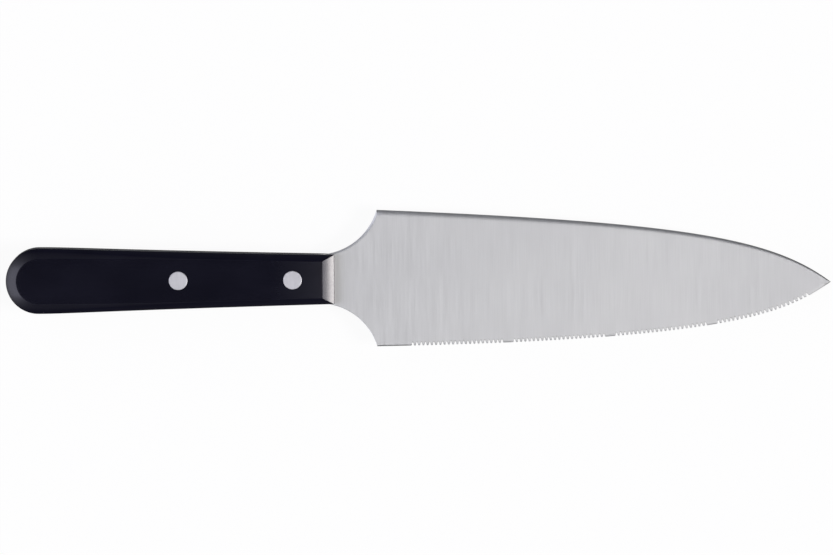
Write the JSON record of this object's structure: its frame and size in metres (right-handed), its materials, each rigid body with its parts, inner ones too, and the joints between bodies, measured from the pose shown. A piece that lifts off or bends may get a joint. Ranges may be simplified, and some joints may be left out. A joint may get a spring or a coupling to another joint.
{
  "type": "cake server",
  "caption": "Cake server with a wide flat steel blade that tapers to a point, one finely serrated edge, and a black handle of riveted plastic scales with a round butt.",
  "frame": {"origin": "under the middle of the bounding box, in the plane of the left scale's flat outer face, on which the server lies", "axes": "+X along the handle's axis from the butt to the blade's tip, +Y from the serrated edge to the spine, +Z square to the blade, from the left side to the right side, up as it lies"},
  "size_m": [0.2908, 0.0482, 0.0124],
  "materials": {
    "blade_steel": "satin, finely ground across the blade",
    "handle_plastic": "satin black with a faint blue cast",
    "rivet_steel": "satin, ground flush with the handle"
  },
  "bodies": {
    "root": {"blade": "blade_steel", "right_scale": "handle_plastic", "left_scale": "handle_plastic", "front_rivet_tube": "rivet_steel", "front_rivet_pin": "rivet_steel", "rear_rivet_tube": "rivet_steel", "rear_rivet_pin": "rivet_steel"}
  },
  "joints": []
}
